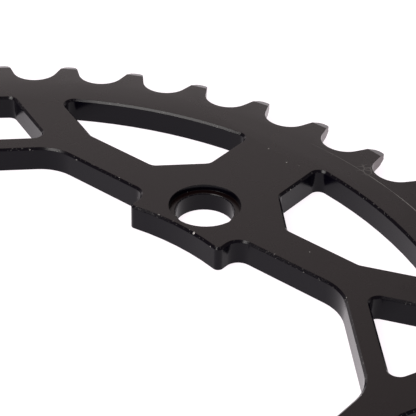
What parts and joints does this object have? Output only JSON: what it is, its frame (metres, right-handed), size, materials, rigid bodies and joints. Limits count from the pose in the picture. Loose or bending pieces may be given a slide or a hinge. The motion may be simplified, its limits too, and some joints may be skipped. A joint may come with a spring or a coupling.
{
  "type": "bicycle chainring",
  "caption": "Flat toothed ring for a bicycle crank: a black anodised plate with chain teeth outside, truss windows, and counterbored bolt tabs inside.",
  "frame": {"origin": "centre of the ring, on its flat back face", "axes": "+Z along the ring's axis, out of the counterbored front face; +Y through the centre of one bolt hole"},
  "size_m": [0.1754, 0.1758, 0.0045],
  "materials": {
    "anodised_plate": "satin black anodised"
  },
  "bodies": {
    "root": {"chainring": "anodised_plate"}
  },
  "joints": []
}
